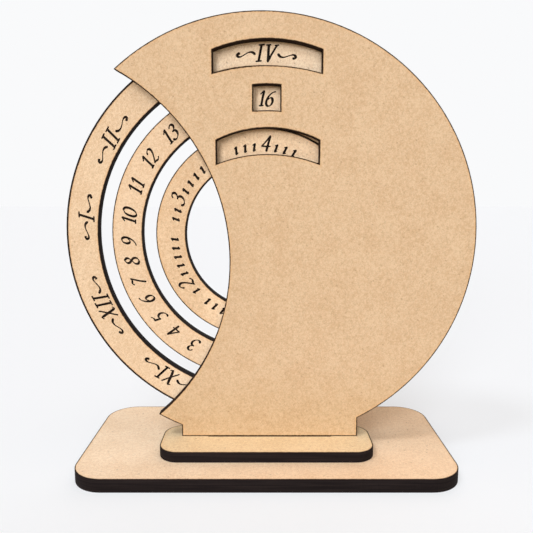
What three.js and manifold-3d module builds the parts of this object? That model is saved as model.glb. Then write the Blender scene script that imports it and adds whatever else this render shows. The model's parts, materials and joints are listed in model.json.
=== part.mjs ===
// Perpetual desk calendar cut from thin fibreboard.
// A front plate with three windows hides three flat rings, one for the months, one for the dates
// and one for the weekdays. A large bite in the plate's left side bares the rings, so that a
// finger can turn them. Spacers of the middle layer keep each ring on its circle, a back plate
// closes the stack, and the front plate's foot stands through a foot plate into the base.
// Millimetres, +Z up, the face with the windows looks along -Y. The origin is the centre of the
// base's underside.

import * as THREE from 'three';
import { mergeVertices } from 'three/addons/utils/BufferGeometryUtils.js';
import Module from 'manifold-3d';

const wasm = await Module();
wasm.setup();

// Boards
const frontThickness = 4;
const ringThickness = 4;
const backThickness = 4;
const footPlateThickness = 4;
const baseThickness = 5;

// Running clearance of the rings, to the plates and to the spacers' edges
const faceClearance = 0.3;
const edgeClearance = 0.4;

// Disc, and the rings and spacers from its rim inwards
const discRadius = 80.3;
const layerSetback = 2.6;
const rimWidth = 3.1;
const monthRingWidth = 12.2;
const dateRingWidth = 11.5;
const weekdayRingWidth = 11.3;
const dividerWidth = 4.4;

// Bite in the left side, from the axis of the rings
const biteCentreX = -91.2;
const biteCentreZ = -9.1;
const biteRadius = 79.2;

// Windows: right is from the rings' axis to the window's middle line, and lift is from the
// ring's inner edge up to the middle of the window's lower edge
const monthWindow = {
  right: 2.2, width: 39.4, height: 9, lift: -0.4, topRise: 3.7, bottomRise: 2.7,
};
const dateWindow = {
  right: 2, width: 9.9, height: 9.1, lift: 0.6, topRise: 0.3, bottomRise: 0.2,
};
const weekdayWindow = {
  right: 2.4, width: 37.6, height: 9.3, lift: 1.5, topRise: 4.4, bottomRise: 3.5,
};

// Foot of the front plate, and its tenon through the foot plate into the base
const footWidth = 68.6;
const tenonWidth = 48;
const slotClearance = 0.3;
const tenonEndGap = 0.4;

// Foot plate and base share one middle line, x = 0. The foot's is right of it, the axis left.
const footPlateWidth = 81.2;
const footPlateDepth = 24.5;
const footPlateAhead = 14;
const footPlateCorner = 7.5;
const baseWidth = 140.6;
const baseDepth = 66.7;
const baseAhead = 26.2;
const baseCorner = 12;
const footRight = 1.2;
const axisLeft = 1.9;
const standGap = 0.9;

// Facets stay this close to the true arcs, and cutting tools run this far past what they cut
const chordError = 0.02;
const cutOverrun = 2;

// Worked out from the sizes above
const middleThickness = ringThickness + 2 * faceClearance;
const layerRadius = discRadius - layerSetback;
const rimInner = layerRadius - rimWidth;
const ringWidths = [
  ['month_ring', monthRingWidth],
  ['date_ring', dateRingWidth],
  ['weekday_ring', weekdayRingWidth],
];
const rings = [];
let nextOuter = rimInner - edgeClearance;
for (const [name, width] of ringWidths) {
  rings.push({ name, outer: nextOuter, inner: nextOuter - width });
  nextOuter -= width + dividerWidth + 2 * edgeClearance;
}
const hubRadius = rings[2].inner - edgeClearance;
const hiddenBiteRadius = biteRadius + layerSetback;
const standHeight = baseThickness + footPlateThickness;
const axisHeight = standHeight + standGap + layerRadius;
const frontY = baseAhead - baseDepth / 2;
const shoulderZ = standHeight - axisHeight;
const tenonEndZ = tenonEndGap - axisHeight;

// Bare fibreboard, a shade darker on the layers that the plates hide
const boardColour = 0xdcb88c;
const ringColour = 0xdfbd92;
const hiddenColour = 0xd3ae83;

function boardMaterial(colour) {
  return new THREE.MeshStandardMaterial({ color: colour, roughness: 0.72, metalness: 0 });
}

// Outlines, in the plane of the board

function arcPoints(centreX, centreY, radius, from, to) {
  const widestStep = 2 * Math.acos(1 - chordError / radius);
  const steps = Math.max(1, Math.ceil(Math.abs(to - from) / widestStep));
  const points = [];
  for (let i = 0; i <= steps; i += 1) {
    const angle = from + ((to - from) * i) / steps;
    const x = centreX + radius * Math.cos(angle);
    const y = centreY + radius * Math.sin(angle);
    points.push(new THREE.Vector2(x, y));
  }
  return points;
}

function circlePoints(centreX, centreY, radius) {
  const points = arcPoints(centreX, centreY, radius, 0, 2 * Math.PI);
  points.pop();
  return points;
}

// An arc from left to right over a chord, which stands above the chord's ends by the rise
function bowPoints(halfChord, endY, rise) {
  const radius = (halfChord * halfChord + rise * rise) / (2 * rise);
  const halfAngle = Math.asin(halfChord / radius);
  const upright = Math.PI / 2;
  return arcPoints(0, endY + rise - radius, radius, upright + halfAngle, upright - halfAngle);
}

function rectanglePoints(left, right, bottom, top) {
  return [
    new THREE.Vector2(left, bottom),
    new THREE.Vector2(right, bottom),
    new THREE.Vector2(right, top),
    new THREE.Vector2(left, top),
  ];
}

function roundedRectanglePoints(width, depth, corner) {
  const reachX = width / 2 - corner;
  const reachY = depth / 2 - corner;
  const quarter = Math.PI / 2;
  return [
    ...arcPoints(reachX, reachY, corner, 0, quarter),
    ...arcPoints(-reachX, reachY, corner, quarter, 2 * quarter),
    ...arcPoints(-reachX, -reachY, corner, 2 * quarter, 3 * quarter),
    ...arcPoints(reachX, -reachY, corner, 3 * quarter, 4 * quarter),
  ];
}

// Solids, each a board laid flat with its outline in X and Y and its thickness along +Z

function solidFrom(geometry) {
  geometry.deleteAttribute('normal');
  geometry.deleteAttribute('uv');
  const merged = mergeVertices(geometry);
  return new wasm.Manifold(
    new wasm.Mesh({
      numProp: 3,
      vertProperties: new Float32Array(merged.attributes.position.array),
      triVerts: new Uint32Array(merged.index.array),
    }),
  );
}

function board(outline, thickness, holes = []) {
  const shape = new THREE.Shape(outline);
  shape.holes = holes.map((points) => new THREE.Path(points));
  return solidFrom(new THREE.ExtrudeGeometry(shape, { depth: thickness, bevelEnabled: false }));
}

// A cutter for a board that lies on z = 0
function cutter(outline, thickness) {
  return board(outline, thickness + 2 * cutOverrun).translate(0, 0, -cutOverrun);
}

function meshFrom(name, solid, colour) {
  const { vertProperties, triVerts } = solid.getMesh();
  const geometry = new THREE.BufferGeometry();
  geometry.setAttribute('position', new THREE.BufferAttribute(vertProperties, 3));
  geometry.setIndex(new THREE.BufferAttribute(triVerts, 1));
  geometry.computeVertexNormals();
  const mesh = new THREE.Mesh(geometry, boardMaterial(colour));
  mesh.name = name;
  return mesh;
}

function biteCutter(radius, thickness) {
  return cutter(circlePoints(biteCentreX, biteCentreZ, radius), thickness);
}

// Layers of the dial, in the rings' own frame: the axis is at the origin

function ringBoard(ring) {
  const hole = circlePoints(0, 0, ring.inner);
  return board(circlePoints(0, 0, ring.outer), ringThickness, [hole]);
}

function hiddenLayer(outerRadius, innerRadius, thickness) {
  const holes = innerRadius > 0 ? [circlePoints(0, 0, innerRadius)] : [];
  const whole = board(circlePoints(0, 0, outerRadius), thickness, holes);
  return whole.subtract(biteCutter(hiddenBiteRadius, thickness));
}

function windowCutter(size, ring) {
  const bottomZ = ring.inner + size.lift;
  const topZ = bottomZ + size.height;
  const upper = bowPoints(size.width / 2, topZ - size.topRise, size.topRise);
  const lower = bowPoints(size.width / 2, bottomZ - size.bottomRise, size.bottomRise);
  const outline = [...lower, ...upper.reverse()];
  return cutter(outline, frontThickness).translate(size.right, 0, 0);
}

function frontPlate() {
  const disc = board(circlePoints(0, 0, discRadius), frontThickness);
  const middle = axisLeft + footRight;
  const left = middle - footWidth / 2;
  const right = middle + footWidth / 2;
  const foot = board(rectanglePoints(left, right, shoulderZ, 0), frontThickness);
  const below = rectanglePoints(-discRadius, discRadius, -2 * discRadius, shoulderZ);
  const tenonLeft = middle - tenonWidth / 2;
  const tenonRight = middle + tenonWidth / 2;
  const tenon = board(rectanglePoints(tenonLeft, tenonRight, tenonEndZ, 0), frontThickness);
  return disc
    .add(foot)
    .subtract(cutter(below, frontThickness))
    .add(tenon)
    .subtract(biteCutter(biteRadius, frontThickness))
    .subtract(windowCutter(monthWindow, rings[0]))
    .subtract(windowCutter(dateWindow, rings[1]))
    .subtract(windowCutter(weekdayWindow, rings[2]));
}

// The dial stands upright: its boards' +Z looks along -Y, towards the reader
function dial() {
  const group = new THREE.Group();
  group.position.set(-axisLeft, frontY, axisHeight);
  group.rotation.x = Math.PI / 2;

  const middleDepth = frontThickness + middleThickness;
  const place = (mesh, depth) => {
    mesh.position.z = -depth;
    group.add(mesh);
  };

  place(meshFrom('front_plate', frontPlate(), boardColour), frontThickness);

  const ringDepth = frontThickness + faceClearance + ringThickness;
  for (const ring of rings) {
    place(meshFrom(ring.name, ringBoard(ring), ringColour), ringDepth);
  }

  const spacers = [
    ['rim_spacer', layerRadius, rimInner],
    ['date_month_spacer', rings[0].inner - edgeClearance, rings[1].outer + edgeClearance],
    ['weekday_date_spacer', rings[1].inner - edgeClearance, rings[2].outer + edgeClearance],
    ['hub_spacer', hubRadius, 0],
  ];
  for (const [name, outerRadius, innerRadius] of spacers) {
    const spacer = hiddenLayer(outerRadius, innerRadius, middleThickness);
    place(meshFrom(name, spacer, hiddenColour), middleDepth);
  }

  const back = hiddenLayer(layerRadius, 0, backThickness);
  place(meshFrom('back_plate', back, boardColour), middleDepth + backThickness);
  return group;
}

// Foot plate and base lie flat, with a slot for the tenon right through both

function slottedPlate(width, depth, corner, thickness, centreY) {
  const slotLeft = footRight - tenonWidth / 2 - slotClearance;
  const slotRight = footRight + tenonWidth / 2 + slotClearance;
  const slotFront = frontY - slotClearance - centreY;
  const slotBack = frontY + frontThickness + slotClearance - centreY;
  const slot = rectanglePoints(slotLeft, slotRight, slotFront, slotBack);
  const plate = board(roundedRectanglePoints(width, depth, corner), thickness);
  return plate.subtract(cutter(slot, thickness)).translate(0, centreY, 0);
}

function stand() {
  const group = new THREE.Group();
  const base = slottedPlate(baseWidth, baseDepth, baseCorner, baseThickness, 0);
  group.add(meshFrom('base_plate', base, boardColour));

  const centreY = frontY - footPlateAhead + footPlateDepth / 2;
  const corner = footPlateCorner;
  const plate = slottedPlate(footPlateWidth, footPlateDepth, corner, footPlateThickness, centreY);
  const footPlate = meshFrom('foot_plate', plate, boardColour);
  footPlate.position.z = baseThickness;
  group.add(footPlate);
  return group;
}

const calendar = new THREE.Group();
calendar.add(dial(), stand());

export default calendar;
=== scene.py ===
# Looks of a perpetual desk calendar of laser-cut fibreboard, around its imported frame.
# Metres, +Z up, and the windows look along -Y.
import json
import math

import bmesh
import bpy
from mathutils import Matrix, Vector


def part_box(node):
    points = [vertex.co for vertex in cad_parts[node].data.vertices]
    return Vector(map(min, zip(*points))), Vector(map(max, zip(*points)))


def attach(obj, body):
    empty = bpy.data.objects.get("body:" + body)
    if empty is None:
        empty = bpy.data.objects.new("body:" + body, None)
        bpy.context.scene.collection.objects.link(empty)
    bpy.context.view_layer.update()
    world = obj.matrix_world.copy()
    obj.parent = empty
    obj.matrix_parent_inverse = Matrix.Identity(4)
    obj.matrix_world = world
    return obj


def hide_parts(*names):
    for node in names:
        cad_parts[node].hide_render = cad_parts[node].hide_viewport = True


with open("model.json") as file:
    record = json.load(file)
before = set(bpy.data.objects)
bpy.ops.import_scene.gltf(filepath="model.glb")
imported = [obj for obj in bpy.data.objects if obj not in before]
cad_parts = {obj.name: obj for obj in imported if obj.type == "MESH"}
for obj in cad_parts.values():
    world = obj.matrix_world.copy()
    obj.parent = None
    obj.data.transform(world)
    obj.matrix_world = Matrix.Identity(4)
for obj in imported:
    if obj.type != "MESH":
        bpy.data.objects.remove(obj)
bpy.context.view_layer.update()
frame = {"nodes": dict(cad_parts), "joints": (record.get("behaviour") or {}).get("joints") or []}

mm = 0.001
shiftShares = (1, 0.7, 1.3)  # of a pattern's shift, along x, y and z
print("frame loaded:", len(frame["nodes"]), "boards")


# Materials

class Wire:
    # One output socket: a sum of wires and numbers adds its Math nodes
    def __init__(self, finish, socket):
        self.finish = finish
        self.socket = socket

    def maths(self, operation, *values):
        return self.finish.node("Math", {"operation": operation}, dict(enumerate(values)))

    def __add__(self, other):
        return self.maths("ADD", self, other)

    def __sub__(self, other):
        return self.maths("SUBTRACT", self, other)

    def __rsub__(self, other):
        return self.maths("SUBTRACT", other, self)

    def __mul__(self, other):
        return self.maths("MULTIPLY", self, other)

    def __pow__(self, other):
        return self.maths("POWER", self, other)

    def __abs__(self):
        return self.maths("ABSOLUTE", self)

    __radd__ = __add__
    __rmul__ = __mul__

    def least(self, other):
        return self.maths("MINIMUM", self, other)

    def most(self, other):
        return self.maths("MAXIMUM", self, other)

    def beside(self, name):
        # Another output of the same node
        return Wire(self.finish, self.socket.node.outputs[name])


class Finish:
    # A material in the making
    def __init__(self, name):
        self.material = bpy.data.materials.new(name)
        self.material.use_nodes = True
        self.tree = self.material.node_tree
        self.tree.nodes.clear()
        self.place = self.node("TexCoord").beside("Object")
        self.x = self.node("SeparateXYZ", sockets={0: self.place})
        self.y = self.x.beside("Y")
        self.z = self.x.beside("Z")

    def node(self, kind, settings=None, sockets=None, out=0):
        made = self.tree.nodes.new("ShaderNode" + kind)
        for key, value in (settings or {}).items():
            setattr(made, key, value)
        for key, value in (sockets or {}).items():
            if isinstance(value, Wire):
                self.tree.links.new(value.socket, made.inputs[key])
            else:
                made.inputs[key].default_value = value
        return Wire(self, made.outputs[out]) if made.outputs else None

    def slope(self, value, low, high, atLow=0.0, atHigh=1.0):
        # Smooth step from one value to another
        return self.node(
            "MapRange",
            {"interpolation_type": "SMOOTHSTEP"},
            {"Value": value, 1: low, 2: high, 3: atLow, 4: atHigh},
        )

    def blend(self, factor, first, second):
        return self.node("Mix", {"data_type": "RGBA"}, {0: factor, 6: first, 7: second}, out=2)

    def spread(self, size, stretch=(1, 1, 1), turn=(0, 0, 0), shift=0.0):
        # The place on the object, with one unit for each blot of that size
        return self.node(
            "Mapping",
            {"vector_type": "TEXTURE"},
            {
                "Vector": self.place,
                "Location": tuple(shift * share for share in shiftShares),
                "Rotation": tuple(math.radians(t) for t in turn),
                "Scale": tuple(size * s for s in stretch),
            },
        )

    def grain(self, size, detail=2.0, rough=0.5, **laid):
        sockets = {
            "Vector": self.spread(size, **laid), "Scale": 1.0, "Detail": detail, "Roughness": rough,
        }
        return self.node("TexNoise", {"noise_dimensions": "3D"}, sockets)

    def close(self, colour, rough, height):
        bump = self.node(
            "Bump", sockets={"Strength": 1.0, "Distance": board["relief"], "Height": height},
        )
        shader = self.node(
            "BsdfPrincipled",
            sockets={
                "Base Color": colour, "Roughness": rough, "Normal": bump,
                "Specular IOR Level": board["gloss"],
            },
        )
        self.node("OutputMaterial", sockets={"Surface": shader})
        return self.material


# Outlines of the boards, for the burnt lines along their cuts. Room is how far a point of a
# face lies from the nearest cut.

axis = Vector(frame["joints"][0]["pos_m"])
cuts = {
    # The dial's are from the rings' axis, to the right and up
    "disc": 80.3 * mm,
    "bite": {"right": -91.2 * mm, "up": -9.1 * mm, "front": 79.2 * mm, "hidden": 81.8 * mm},
    "windows": [
        {
            "right": 2.2 * mm, "half": 19.7 * mm,
            "low": 61.6 * mm, "lowRise": 2.7 * mm, "high": 70.6 * mm, "highRise": 3.7 * mm,
        },
        {
            "right": 2.0 * mm, "half": 4.95 * mm,
            "low": 45.9 * mm, "lowRise": 0.2 * mm, "high": 55.0 * mm, "highRise": 0.3 * mm,
        },
        {
            "right": 2.4 * mm, "half": 18.8 * mm,
            "low": 30.3 * mm, "lowRise": 3.5 * mm, "high": 39.6 * mm, "highRise": 4.4 * mm,
        },
    ],
    "foot": {"x": 1.2 * mm, "half": 34.3 * mm, "bottom": 9 * mm},
    "footPlate": {"halfX": 40.6 * mm, "halfY": 12.25 * mm, "y": -8.9 * mm, "corner": 7.5 * mm},
    "base": {"halfX": 70.3 * mm, "halfY": 33.35 * mm, "y": 0.0, "corner": 12 * mm},
    "monthRimBurnt": 0.35 * mm,  # wider line at the month ring's rim
}


def reach(node):
    # Inner and outer radius of a round board, round the rings' axis
    corners = frame["nodes"][node].data.vertices
    far = [math.hypot(corner.co.x - axis.x, corner.co.z - axis.z) for corner in corners]
    return min(far), max(far)


def fromPoint(finish, right, up):
    # How far a point is from one that is so far right of the axis and above it
    return ((finish.x - (axis.x + right)) ** 2 + (finish.z - (axis.z + up)) ** 2) ** 0.5


def ringRoom(node, rimBurnt=0.0):
    inner, outer = reach(node)

    def room(finish):
        far = fromPoint(finish, 0.0, 0.0)
        return (far - inner).least(outer - rimBurnt - far)
    return room


def layerRoom(node):
    # A round board of the hidden layers, with the bite in its side
    bite = cuts["bite"]
    outer = reach(node)[1]

    def room(finish):
        fromBite = fromPoint(finish, bite["right"], bite["up"]) - bite["hidden"]
        return (outer - fromPoint(finish, 0.0, 0.0)).least(fromBite)
    return room


def bowRadius(halfChord, rise):
    return (halfChord ** 2 + rise ** 2) / (2 * rise)


def plateRoom(finish):
    bite, foot = cuts["bite"], cuts["foot"]
    inDisc = cuts["disc"] - fromPoint(finish, 0.0, 0.0)
    inFoot = (foot["half"] - abs(finish.x - foot["x"])).least(axis.z - finish.z)
    room = inDisc.most(inFoot).least(finish.z - foot["bottom"])
    room = room.least(fromPoint(finish, bite["right"], bite["up"]) - bite["front"])
    for window in cuts["windows"]:
        right, half = window["right"], window["half"]
        lowRadius = bowRadius(half, window["lowRise"])
        highRadius = bowRadius(half, window["highRise"])
        overLow = fromPoint(finish, right, window["low"] - lowRadius) - lowRadius
        underHigh = highRadius - fromPoint(finish, right, window["high"] - highRadius)
        beside = half - abs(finish.x - (axis.x + right))
        room = room.least(0.0 - overLow.least(underHigh).least(beside))
    return room


def slabRoom(slab):
    # A plate with round corners that lies flat
    reachX, reachY = slab["halfX"] - slab["corner"], slab["halfY"] - slab["corner"]

    def room(finish):
        pastX = abs(finish.x) - reachX
        pastY = abs(finish.y - slab["y"]) - reachY
        beyond = (pastX.most(0.0) ** 2 + pastY.most(0.0) ** 2) ** 0.5
        return slab["corner"] - beyond - pastX.most(pastY).least(0.0)
    return room


# Fibreboard: pressed fibres in a pale brown, burnt nearly black where the laser cut it

board = {
    "cloud": 9 * mm,
    "mottle": 1.3 * mm,
    "grit": 0.55 * mm,
    "shadeParts": (0.20, 0.34, 0.46),  # of clouds, mottles and grit
    "shadeSpan": (0.38, 0.62),
    "shadeDark": (0.904, 0.868, 0.832),  # shares of the tone
    "shadePale": (1.057, 1.106, 1.158),
    "fibre": 0.22 * mm,
    "fibreLength": 7,
    "fibreTurns": (12, 73, 128),  # degrees
    "fibreShift": 0.1,
    "fibreDark": {"span": (0.60, 0.74), "share": (0.62, 0.60, 0.57), "strength": 0.38},
    "fibrePale": {"span": (0.40, 0.27), "share": (1.12, 1.15, 1.18), "strength": 0.37},
    "speck": {
        "size": 1.7 * mm, "length": 1.5, "turn": 35,
        "span": (0.24, 0.04), "chance": (0.30, 1.0), "strength": 0.55,
        "tone": (0.36, 0.21, 0.11, 1),
    },
    "burnt": 0.26 * mm,
    "burntFade": 0.56 * mm,
    "waver": {"size": 0.9 * mm, "depth": 0.30 * mm},
    "burntTone": (0.030, 0.016, 0.009, 1),
    "warmed": 2.2 * mm,
    "warmth": 0.36,
    "warmTone": (0.78, 0.43, 0.17, 1),
    "layer": {"size": 0.35 * mm, "length": 60},
    "pulse": {"size": 0.30 * mm, "length": 12},
    "wallParts": (0.85, 0.15),  # of layers along the cut and pulses across it
    "wallSpan": (0.34, 0.68),
    "wallFade": (0.02 * mm, 0.16 * mm),
    "walls": {  # dark and pale
        "front": ((0.010, 0.005, 0.003, 1), (0.025, 0.011, 0.006, 1)),
        "others": ((0.009, 0.006, 0.006, 1), (0.020, 0.014, 0.013, 1)),
    },
    "rough": {"bare": 0.60, "mottled": 0.10, "burnt": 0.16},
    "bump": {"mottle": 0.5, "fibre": 0.35},
    "relief": 0.03 * mm,
    "gloss": 0.07,
}


def shadeOf(tone, shares):
    return tuple(share * part for share, part in zip(shares, tone)) + (1,)


def boardFinish(name, tone, room, flat, shift):
    # flat is the axis that the board's thickness runs along
    finish = Finish(name)
    # The slide from one tone to the other is painted light on the rings and on the base
    one, other, along, start, end = tones[tone]
    passed = finish.slope(getattr(finish, along), start, end) if start != end else 0.0

    def toned(shares):
        return finish.blend(passed, shadeOf(one, shares), shadeOf(other, shares))

    def turned(angle):
        return (0, angle, 0) if flat == "Y" else (0, 0, angle)

    def laid(alongCut, across=1):
        return [across if letter == flat else alongCut for letter in "XYZ"]

    cloud = finish.grain(board["cloud"], detail=3.0, shift=shift)
    mottle = finish.grain(board["mottle"], detail=3.0, rough=0.6, shift=2 * shift)
    grit = finish.grain(board["grit"], detail=2.0, rough=0.6, shift=3 * shift)
    cloudPart, mottlePart, gritPart = board["shadeParts"]
    mixed = cloudPart * cloud + mottlePart * mottle + gritPart * grit
    shade = finish.slope(mixed, *board["shadeSpan"])
    face = finish.blend(shade, toned(board["shadeDark"]), toned(board["shadePale"]))

    fibreDark, fibrePale = board["fibreDark"], board["fibrePale"]
    dark = pale = None
    for i, angle in enumerate(board["fibreTurns"]):
        long = (board["fibreLength"], 1, 1)
        strand = finish.grain(
            board["fibre"], detail=1.0, stretch=long, turn=turned(angle),
            shift=shift + board["fibreShift"] * i,
        )
        thick = finish.slope(strand, *fibreDark["span"])
        thin = finish.slope(strand, *fibrePale["span"])
        dark = thick if dark is None else dark.most(thick)
        pale = thin if pale is None else pale.most(thin)
    face = finish.blend(fibreDark["strength"] * dark, face, shadeOf(one, fibreDark["share"]))
    face = finish.blend(fibrePale["strength"] * pale, face, shadeOf(other, fibrePale["share"]))

    speck = board["speck"]
    where = finish.spread(
        speck["size"], stretch=(speck["length"], 1, 1), turn=turned(speck["turn"]), shift=shift,
    )
    cell = finish.node("TexVoronoi", {"feature": "F1"}, {"Vector": where, "Scale": 1.0})
    chance = finish.node("SeparateColor", sockets={0: cell.beside("Color")})
    spot = finish.slope(cell, *speck["span"]) * finish.slope(chance, *speck["chance"])
    face = finish.blend(speck["strength"] * spot, face, speck["tone"])

    # Laser's traces: a burnt line at the cut and a warm tint that fades away from it
    gap = room(finish)
    warmth = finish.slope(gap, 0.0, board["warmed"], 1.0, 0.0)
    face = finish.blend(board["warmth"] * warmth * warmth, face, board["warmTone"])
    waver = finish.grain(board["waver"]["size"], detail=2.0, shift=shift)
    uneven = gap + (waver - 0.5) * board["waver"]["depth"]
    burnt = finish.slope(uneven, board["burnt"], board["burntFade"], 1.0, 0.0)

    layer, pulse = board["layer"], board["pulse"]
    layers = finish.grain(layer["size"], stretch=laid(layer["length"]), shift=shift)
    pulses = finish.grain(pulse["size"], stretch=laid(1, pulse["length"]), shift=shift)
    layerPart, pulsePart = board["wallParts"]
    streaks = finish.slope(layerPart * layers + pulsePart * pulses, *board["wallSpan"])
    walls = board["walls"].get(tone, board["walls"]["others"])
    char = finish.blend(streaks, *walls)
    wall = finish.slope(gap, *board["wallFade"], 1.0, 0.0)
    char = finish.blend(wall, board["burntTone"], char)
    colour = finish.blend(burnt, face, char)

    roughParts, bumpParts = board["rough"], board["bump"]
    rough = roughParts["bare"] + roughParts["mottled"] * mottle + roughParts["burnt"] * burnt
    height = bumpParts["mottle"] * mottle + bumpParts["fibre"] * (dark - pale)
    return finish.close(colour, rough, height + burnt * (pulses + layers - 1.0))


# Engraved by the laser: charred fibres
engraving = {
    "soot": 0.25 * mm,
    "brown": 3 * mm,
    "parts": (0.6, 0.4),
    "span": (0.38, 0.68),
    "dark": (0.008, 0.006, 0.005, 1),
    "pale": (0.034, 0.021, 0.014, 1),
    "rough": 0.78,
    "roughSoot": 0.1,
}


def markFinish(name, shift):
    finish = Finish(name)
    soot = finish.grain(engraving["soot"], detail=3.0, shift=shift)
    brown = finish.grain(engraving["brown"], detail=2.0, shift=shift)
    sootPart, brownPart = engraving["parts"]
    shade = finish.slope(sootPart * soot + brownPart * brown, *engraving["span"])
    colour = finish.blend(shade, engraving["dark"], engraving["pale"])
    return finish.close(colour, engraving["rough"] + engraving["roughSoot"] * soot, soot)


# Tones of the faces, each from one to another along x or z. The front plate is darker and
# browner towards its foot. The rings are paler where the plate hides them: painted light, a lit
# copy of each ring's tone that brightens the shaded ring faces in the windows.
plain = (0.678, 0.471, 0.286)
footTone = (0.865, 0.644, 0.385)
tones = {
    "front": ((0.615, 0.420, 0.236), plain, "z", 12 * mm, 42 * mm),
    "plain": (plain, plain, "z", 0, 0),
    # Rings: the second, paler tone is painted light that lifts the shaded ring faces in the windows
    "monthRing": ((0.758, 0.541, 0.342), (0.930, 0.700, 0.475), "x", -52 * mm, -24 * mm),
    "dateRing": ((0.779, 0.554, 0.354), (0.930, 0.670, 0.435), "x", -35 * mm, -12 * mm),
    "weekdayRing": ((0.735, 0.505, 0.305), (0.920, 0.650, 0.410), "x", -28 * mm, -18 * mm),
    "foot": (footTone, footTone, "x", 0, 0),
    # Base: paler and cooler to the left, darker and warmer to the right; painted light, as if lit
    # more from the left
    "base": ((0.960, 0.735, 0.515), (0.915, 0.645, 0.418), "x", -60 * mm, 40 * mm),
}


# Strokes of a broad pen, on a height of 1: each line is a smooth path through its points

pen = {
    "angle": 32,
    "slant": 0.20,
    "steps": 5,
    "sides": 2,
    "endShare": 0.7,
    "endWidth": 0.35,
    "depthShare": 0.8,
}
glyphs = {
    # name: (width, strokes)
    "0": (0.54, [
        [(0.27, 0.99), (0.08, 0.82), (0.02, 0.48), (0.09, 0.13), (0.27, 0.01), (0.45, 0.18),
         (0.52, 0.52), (0.45, 0.87), (0.27, 0.99)],
    ]),
    "1": (0.36, [
        [(0.06, 0.80), (0.15, 0.90), (0.25, 0.99), (0.25, 0.60), (0.25, 0.30), (0.25, 0.03)],
        [(0.12, 0.015), (0.25, 0.02), (0.38, 0.035)],
    ]),
    "2": (0.52, [
        [(0.05, 0.80), (0.12, 0.93), (0.28, 0.99), (0.43, 0.86), (0.40, 0.62), (0.24, 0.33),
         (0.03, 0.05)],
        [(0.03, 0.05), (0.17, 0.075), (0.33, 0.015), (0.45, 0.03), (0.53, 0.12)],
    ]),
    "3": (0.48, [
        [(0.06, 0.85), (0.16, 0.97), (0.31, 0.97), (0.41, 0.83), (0.36, 0.66), (0.18, 0.54)],
        [(0.18, 0.54), (0.35, 0.52), (0.45, 0.36), (0.40, 0.14), (0.22, 0.00), (0.06, 0.02),
         (0.00, 0.10)],
    ]),
    "4": (0.54, [
        [(0.40, 0.99), (0.24, 0.68), (0.01, 0.30)],
        [(0.01, 0.30), (0.20, 0.31), (0.38, 0.30), (0.56, 0.33)],
        [(0.41, 0.99), (0.40, 0.60), (0.39, 0.01)],
    ]),
    "5": (0.48, [
        [(0.13, 0.96), (0.25, 0.94), (0.37, 0.96), (0.49, 1.04)],
        [(0.13, 0.96), (0.11, 0.76), (0.08, 0.58), (0.22, 0.60), (0.38, 0.50), (0.43, 0.30),
         (0.34, 0.09), (0.16, -0.01), (0.00, 0.03)],
    ]),
    "6": (0.50, [
        [(0.50, 1.00), (0.32, 0.93), (0.14, 0.72), (0.04, 0.42), (0.06, 0.14), (0.22, 0.00),
         (0.40, 0.08), (0.46, 0.32), (0.38, 0.53), (0.23, 0.56), (0.07, 0.40)],
    ]),
    "7": (0.50, [
        [(0.03, 0.86), (0.10, 0.95), (0.22, 0.95), (0.36, 0.91), (0.51, 0.97)],
        [(0.51, 0.97), (0.40, 0.72), (0.25, 0.38), (0.14, 0.00)],
    ]),
    "8": (0.52, [
        [(0.40, 0.90), (0.26, 0.99), (0.10, 0.88), (0.10, 0.70), (0.27, 0.53), (0.45, 0.34),
         (0.44, 0.10), (0.24, 0.00), (0.05, 0.10), (0.05, 0.31), (0.24, 0.50), (0.40, 0.66),
         (0.44, 0.80), (0.40, 0.90)],
    ]),
    "9": (0.50, [
        [(0.00, 0.00), (0.18, 0.07), (0.36, 0.28), (0.46, 0.58), (0.44, 0.86), (0.28, 1.00),
         (0.10, 0.92), (0.04, 0.68), (0.12, 0.47), (0.27, 0.44), (0.43, 0.60)],
    ]),
    "I": (0.34, [
        [(0.17, 0.96), (0.17, 0.50), (0.17, 0.04)],
        [(0.02, 0.97), (0.17, 0.985), (0.34, 1.00)],
        [(0.01, 0.00), (0.17, 0.015), (0.33, 0.03)],
    ]),
    "V": (0.66, [
        [(0.10, 0.97), (0.19, 0.50), (0.28, 0.00)],
        [(0.28, 0.00), (0.42, 0.48), (0.60, 0.97)],
        [(-0.04, 0.97), (0.10, 0.985), (0.22, 1.00)],
        [(0.49, 0.97), (0.60, 0.985), (0.71, 1.00)],
    ]),
    "X": (0.66, [
        [(0.02, 0.93), (0.11, 0.99), (0.20, 0.88), (0.33, 0.50), (0.47, 0.12), (0.56, 0.01),
         (0.66, 0.08)],
        [(0.62, 0.99), (0.34, 0.50), (0.04, 0.01)],
    ]),
    "leftSwash": (1.10, [
        [(0.13, 0.52), (0.05, 0.56), (0.00, 0.47), (0.07, 0.36), (0.24, 0.34), (0.46, 0.44),
         (0.70, 0.55), (0.92, 0.55), (1.10, 0.43)],
    ]),
    "rightSwash": (1.10, [
        [(0.97, 0.36), (1.05, 0.32), (1.10, 0.41), (1.03, 0.52), (0.86, 0.54), (0.64, 0.44),
         (0.40, 0.33), (0.18, 0.33), (0.00, 0.45)],
    ]),
    "tick": (0.30, [
        [(0.02, 0.40), (0.13, 0.48), (0.14, 0.25), (0.15, 0.03), (0.25, 0.09)],
    ]),
}


def smoothPath(points):
    # Points along a curve through the given ones
    ends = [points[0], *points, points[-1]]
    path = []
    for before, start, end, after in zip(ends, ends[1:], ends[2:], ends[3:]):
        for step in range(pen["steps"]):
            t = step / pen["steps"]
            path.append(tuple(
                0.5 * (
                    2 * q + (r - p) * t + (2 * p - 5 * q + 4 * r - s) * t * t
                    + (3 * q - p - 3 * r + s) * t ** 3
                )
                for p, q, r, s in zip(before, start, end, after)
            ))
    path.append(points[-1])
    return path


def penWidth(way, broad, fine):
    # Half of the line's width, by its direction
    off = math.atan2(way[1], way[0]) - math.radians(pen["angle"])
    return math.hypot(broad * math.sin(off), fine * math.cos(off))


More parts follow.
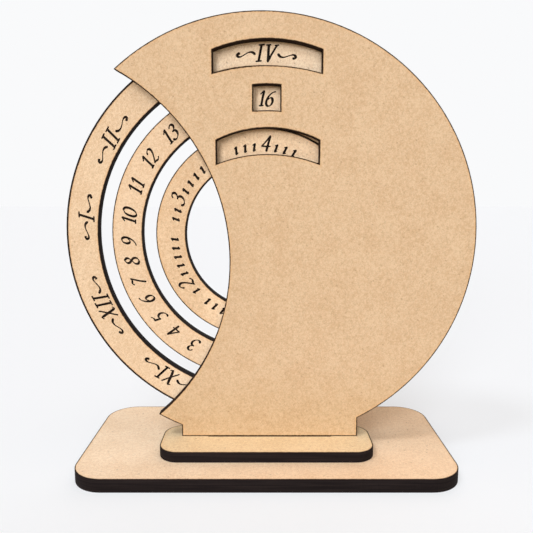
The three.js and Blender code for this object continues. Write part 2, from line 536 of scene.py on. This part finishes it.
def writeLine(curve, path, place, broad, fine):
    # A round-ended line of changing width, as one spline
    earlier = [path[0], *path[:-1]]
    later = [*path[1:], path[-1]]
    ways = [(b[0] - a[0], b[1] - a[1]) for a, b in zip(earlier, later)]
    points = [(place(*p), penWidth(way, broad, fine)) for p, way in zip(path, ways)]

    def pastEnd(end, neighbour):
        outwards = (end[0] - neighbour[0]).normalized() * end[1] * pen["endShare"]
        return end[0] + outwards, pen["endWidth"] * end[1]

    points = [pastEnd(points[0], points[1]), *points, pastEnd(points[-1], points[-2])]
    spline = curve.splines.new("POLY")
    spline.points.add(len(points) - 1)
    for knot, (at, width) in zip(spline.points, points):
        knot.co = (at.x, at.y, at.z, 1)
        knot.radius = width / mm


def writeRow(curve, row, angle, size, faceY):
    # Tops outwards. The angle is of the row's middle, counter-clockwise from +X for the reader.
    radius, height, gap = size["radius"], size["height"], size["gap"]
    length = sum(glyphs[glyph][0] * height + gap for glyph in row) - gap
    start = 0.0
    for glyph in row:
        width, lines = glyphs[glyph]
        middle = start + width * height / 2 - length / 2
        turn = math.radians(angle) - middle / radius
        out = Vector((math.cos(turn), 0, math.sin(turn)))
        right = Vector((math.sin(turn), 0, -math.cos(turn)))
        middleOfDial = Vector((axis.x, faceY, axis.z))

        def place(x, y):
            sideways = (x + pen["slant"] * (y - 0.5) - width / 2) * height
            return middleOfDial + out * (radius + (y - 0.5) * height) + right * sideways

        for line in lines:
            writeLine(curve, smoothPath(line), place, size["broad"], size["fine"])
        start += width * height + gap


# Marks of the rings, with the angles of those that the bite bares and the windows show. Broad
# and fine are half of the pen's widest and narrowest line.

dates = {
    "radius": 50.6 * mm,
    "height": 5.3 * mm,
    "broad": 0.49 * mm,
    "fine": 0.19 * mm,
    "gap": 0.9 * mm,
    "angles": {
        16: 87.9, 13: 131.7, 12: 145.2, 11: 158.5, 10: 171.4, 9: 182.3, 8: 191.0, 7: 200.4,
        6: 209.2, 5: 218.6, 4: 227.8, 3: 238.1, 2: 247.5, 1: 256.6,
    },
}
months = {
    "radius": 66.7 * mm,
    "height": 5.9 * mm,
    "broad": 0.52 * mm,
    "fine": 0.20 * mm,
    "gap": 0.9 * mm,
    "numerals": ["I", "II", "III", "IV", "V", "VI", "VII", "VIII", "IX", "X", "XI", "XII"],
    "angles": {4: 88.3, 3: 117.7, 2: 147.1, 1: 173.9, 12: 204.4, 11: 236.1},
}
weekdays = {
    "radius": 34.4 * mm,
    "height": 5.6 * mm,
    "broad": 0.50 * mm,
    "fine": 0.20 * mm,
    "gap": 1.9 * mm,
    "angles": {5: 33.0, 4: 86.9, 3: 149.9, 2: 200.9, 1: 248.3},
}


def spacedAngles(known, count):
    # The known ones as they are, the others evenly between them; numbers grow clockwise
    angles = {}
    fixed = sorted(known)
    for i, number in enumerate(fixed):
        following = fixed[(i + 1) % len(fixed)]
        between = (following - number) % count or count
        fall = (known[number] - known[following]) % 360 or 360
        for step in range(between):
            angles[(number + step - 1) % count + 1] = known[number] - fall * step / between
    return angles


def dateMarks(curve, faceY):
    for number, angle in spacedAngles(dates["angles"], 31).items():
        writeRow(curve, str(number), angle, dates, faceY)


def monthMarks(curve, faceY):
    for number, angle in spacedAngles(months["angles"], 12).items():
        row = ["leftSwash", *months["numerals"][number - 1], "rightSwash"]
        writeRow(curve, row, angle, months, faceY)


def weekdayMarks(curve, faceY):
    # The day's number stands at its place in a week of seven strokes
    for number, angle in spacedAngles(weekdays["angles"], 7).items():
        row = ["tick"] * 7
        row[number - 1] = str(number)
        writeRow(curve, row, angle, weekdays, faceY)


# Boards: each is a merged copy of its solid with its corners slightly rounded

edges = {
    "rounding": 0.12 * mm,
    "segments": 2,
    "cornerFrom": 45,
    "flatWithin": 0.5,
    "faceFrom": 0.999,
    "merged": 0.001 * mm,
    "mergedMarks": 0.0005 * mm,
}


def intoScene(name, mesh):
    piece = bpy.data.objects.new(name, mesh)
    bpy.context.scene.collection.objects.link(piece)
    return piece


def meshOf(piece):
    # The piece's mesh as its modifiers leave it
    bpy.context.view_layer.update()
    seen = bpy.context.evaluated_depsgraph_get()
    return bpy.data.meshes.new_from_object(piece.evaluated_get(seen))


def roundedBoard(node, name, flat):
    shape = bmesh.new()
    shape.from_mesh(frame["nodes"][node].data)
    bmesh.ops.remove_doubles(shape, verts=shape.verts, dist=edges["merged"])
    bmesh.ops.dissolve_limit(
        shape, angle_limit=math.radians(edges["flatWithin"]), verts=shape.verts, edges=shape.edges,
    )
    cornerFrom = math.radians(edges["cornerFrom"])
    corners = [edge for edge in shape.edges if edge.calc_face_angle(0) > cornerFrom]
    bmesh.ops.bevel(
        shape, geom=corners, offset=edges["rounding"], offset_type="OFFSET",
        segments=edges["segments"], profile=0.5, affect="EDGES", material=-1,
    )
    way = Vector((0, 1, 0)) if flat == "Y" else Vector((0, 0, 1))
    for face in shape.faces:
        face.smooth = abs(face.normal.dot(way)) < edges["faceFrom"]
    mesh = bpy.data.meshes.new(name)
    shape.to_mesh(mesh)
    shape.free()
    return intoScene(name, mesh)


def markLines(name, write, faceY, finish):
    # All the pen's lines on a ring as one mesh, flattened to the depth of the grooves
    curve = bpy.data.curves.new(name, "CURVE")
    curve.dimensions = "3D"
    curve.bevel_depth = mm
    curve.bevel_resolution = pen["sides"]
    curve.use_fill_caps = True
    write(curve, faceY)
    lines = intoScene(name, curve)
    mesh = meshOf(lines)
    bpy.data.objects.remove(lines)
    shape = bmesh.new()
    shape.from_mesh(mesh)
    bmesh.ops.remove_doubles(shape, verts=shape.verts, dist=edges["mergedMarks"])
    bmesh.ops.scale(
        shape, vec=(1, pen["depthShare"], 1), space=Matrix.Translation((0, -faceY, 0)),
        verts=shape.verts,
    )
    bmesh.ops.recalc_face_normals(shape, faces=shape.faces)
    shape.to_mesh(mesh)
    shape.free()
    mesh.materials.clear()
    mesh.materials.append(finish)
    return intoScene(name, mesh)


def engrave(piece, write, faceY, finish):
    # Cuts the marks as shallow grooves, whose walls take the mark's finish
    cutter = markLines(piece.name + "_marks", write, faceY, finish)
    cut = piece.modifiers.new("engraving", "BOOLEAN")
    cut.operation = "DIFFERENCE"
    cut.solver = "EXACT"
    cut.use_self = True
    cut.material_mode = "TRANSFER"
    cut.object = cutter
    piece.data = meshOf(piece)
    piece.modifiers.clear()
    bpy.data.objects.remove(cutter)


monthRoom = ringRoom("month_ring", cuts["monthRimBurnt"])
dateRoom = ringRoom("date_ring")
weekdayRoom = ringRoom("weekday_ring")
boards = [
    # node, piece, slot, body, tone, thickness axis, room
    ("front_plate", "front_board", "front_board", "stand", "front", "Y", plateRoom),
    ("back_plate", "back_board", "front_board", "stand", "plain", "Y", layerRoom("back_plate")),
    ("rim_spacer", "rim_layer", "spacer_board", "stand", "plain", "Y", layerRoom("rim_spacer")),
    (
        "date_month_spacer", "outer_divider", "spacer_board", "stand", "plain", "Y",
        layerRoom("date_month_spacer"),
    ),
    (
        "weekday_date_spacer", "inner_divider", "spacer_board", "stand", "plain", "Y",
        layerRoom("weekday_date_spacer"),
    ),
    ("hub_spacer", "hub_layer", "spacer_board", "stand", "plain", "Y", layerRoom("hub_spacer")),
    ("month_ring", "month_ring_board", "ring_board", "month_ring", "monthRing", "Y", monthRoom),
    ("date_ring", "date_ring_board", "ring_board", "date_ring", "dateRing", "Y", dateRoom),
    (
        "weekday_ring", "weekday_ring_board", "ring_board", "weekday_ring", "weekdayRing", "Y",
        weekdayRoom,
    ),
    ("foot_plate", "foot_slab", "base_board", "stand", "foot", "Z", slabRoom(cuts["footPlate"])),
    ("base_plate", "base_slab", "base_board", "stand", "base", "Z", slabRoom(cuts["base"])),
]
marked = {"month_ring": monthMarks, "date_ring": dateMarks, "weekday_ring": weekdayMarks}
patternShift = 0.037  # keeps each board's grain its own
markShift = 0.029

for order, (node, name, slot, body, tone, flat, room) in enumerate(boards, 1):
    piece = roundedBoard(node, name, flat)
    finish = boardFinish(name + "_finish", tone, room, flat, patternShift * order)
    piece.data.materials.append(finish)
    if node in marked:
        ink = markFinish(name + "_marks", markShift * order)
        engrave(piece, marked[node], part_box(node)[0].y, ink)
    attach(piece, body)
    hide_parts(node)
    print(name, len(piece.data.polygons), "faces")


# Floor, light and camera

studio = {
    "floorHalf": 2.5,
    "floorCloud": 120 * mm,
    "floorTone": (0.84, 0.86, 0.89, 1),
    "floorDark": (0.985, 0.985, 0.985),  # shares of the tone
    "floorRough": 0.9,
    "floorGloss": 0.2,
    "floorGlow": 0.57,
    "glowTone": (0.985, 0.990, 1.0, 1),
    "floorBounce": (0.44, 0.36, 0.25, 1),
    "skySeen": (0.950, 0.955, 0.965, 1),
    "skyLight": (1.30, 0.95, 0.64, 1),
    "sky": 0.15,
    "lamps": [
        # name, way to the lamp, strength, width in degrees, colour
        ("high_lamp", (-0.90, -0.68, 1.80), 0.80, 12, (0.95, 1.00, 1.06)),
        ("upper_lamp", (-0.20, -1.00, 0.78), 0.95, 20, (0.95, 1.00, 1.07)),
        ("front_lamp", (-0.38, -1.00, 0.26), 1.38, 22, (0.96, 1.00, 1.06)),
        ("fill_lamp", (0.24, -1.00, 0.12), 0.52, 22, (0.96, 1.00, 1.06)),
        ("top_lamp", (0.15, -0.20, 1.00), 0.54, 40, (0.98, 1.00, 1.04)),
        ("back_lamp", (0.25, 1.00, 0.85), 0.74, 50, (0.99, 1.00, 1.01)),
    ],
}


def seenWay(tree):
    # One for rays that show the surroundings, nought for those that light the object
    path = tree.nodes.new("ShaderNodeLightPath")
    seen = path.outputs["Is Camera Ray"]
    for name in ("Is Glossy Ray", "Is Transmission Ray"):
        either = tree.nodes.new("ShaderNodeMath")
        either.operation = "MAXIMUM"
        tree.links.new(seen, either.inputs[0])
        tree.links.new(path.outputs[name], either.inputs[1])
        seen = either.outputs[0]
    return seen


def makeFloor():
    shape = bmesh.new()
    bmesh.ops.create_grid(shape, x_segments=1, y_segments=1, size=studio["floorHalf"])
    mesh = bpy.data.meshes.new("floor")
    shape.to_mesh(mesh)
    shape.free()
    floor = intoScene("floor", mesh)
    finish = Finish("floor_finish")
    cloud = finish.grain(studio["floorCloud"], detail=2.0)
    floorDark = shadeOf(studio["floorTone"], studio["floorDark"])
    tone = finish.blend(cloud, floorDark, studio["floorTone"])
    paper = finish.node(
        "BsdfPrincipled",
        sockets={
            "Base Color": tone, "Roughness": studio["floorRough"],
            "Specular IOR Level": studio["floorGloss"],
        },
    )
    glow = finish.node("Emission", sockets={"Color": studio["glowTone"], "Strength": 1.0})
    bright = finish.node("MixShader", sockets={0: studio["floorGlow"], 1: paper, 2: glow})
    bounce = finish.node("BsdfDiffuse", sockets={"Color": studio["floorBounce"]})
    seen = Wire(finish, seenWay(finish.tree))
    surface = finish.node("MixShader", sockets={0: seen, 1: bounce, 2: bright})
    finish.node("OutputMaterial", sockets={"Surface": surface})
    mesh.materials.append(finish.material)


def makeSky():
    world = bpy.data.worlds.new("studio")
    bpy.context.scene.world = world
    world.use_nodes = True
    tree = world.node_tree
    tree.nodes.clear()
    either = tree.nodes.new("ShaderNodeMixShader")
    tree.links.new(seenWay(tree), either.inputs[0])
    skies = ((studio["skyLight"], studio["sky"]), (studio["skySeen"], 1.0))
    for place, (colour, strength) in enumerate(skies, 1):
        sky = tree.nodes.new("ShaderNodeBackground")
        sky.inputs["Color"].default_value = colour
        sky.inputs["Strength"].default_value = strength
        tree.links.new(sky.outputs[0], either.inputs[place])
    end = tree.nodes.new("ShaderNodeOutputWorld")
    tree.links.new(either.outputs[0], end.inputs["Surface"])


def makeLamps():
    for name, way, strength, width, colour in studio["lamps"]:
        light = bpy.data.lights.new(name, "SUN")
        light.energy = strength
        light.color = colour
        light.angle = math.radians(width)
        lamp = intoScene(name, light)
        lamp.rotation_mode = "QUATERNION"
        lamp.rotation_quaternion = Vector(way).to_track_quat("Z", "Y")
        lamp.location = Vector(way)


view = {
    "place": (0.0, -221.96 * mm, 107.14 * mm),
    "down": 8.17,
    "lens": 38.96,
    "sensor": 36.0,
    "nearest": 10 * mm,
}


def makeCamera():
    data = bpy.data.cameras.new("camera")
    data.lens = view["lens"]
    data.sensor_width = view["sensor"]
    data.clip_start = view["nearest"]
    camera = intoScene("camera", data)
    camera.location = view["place"]
    camera.rotation_euler = (math.radians(90 - view["down"]), 0, 0)
    bpy.context.scene.camera = camera


makeFloor()
makeSky()
makeLamps()
makeCamera()
bpy.context.scene.view_settings.view_transform = "Standard"
print("studio ready")
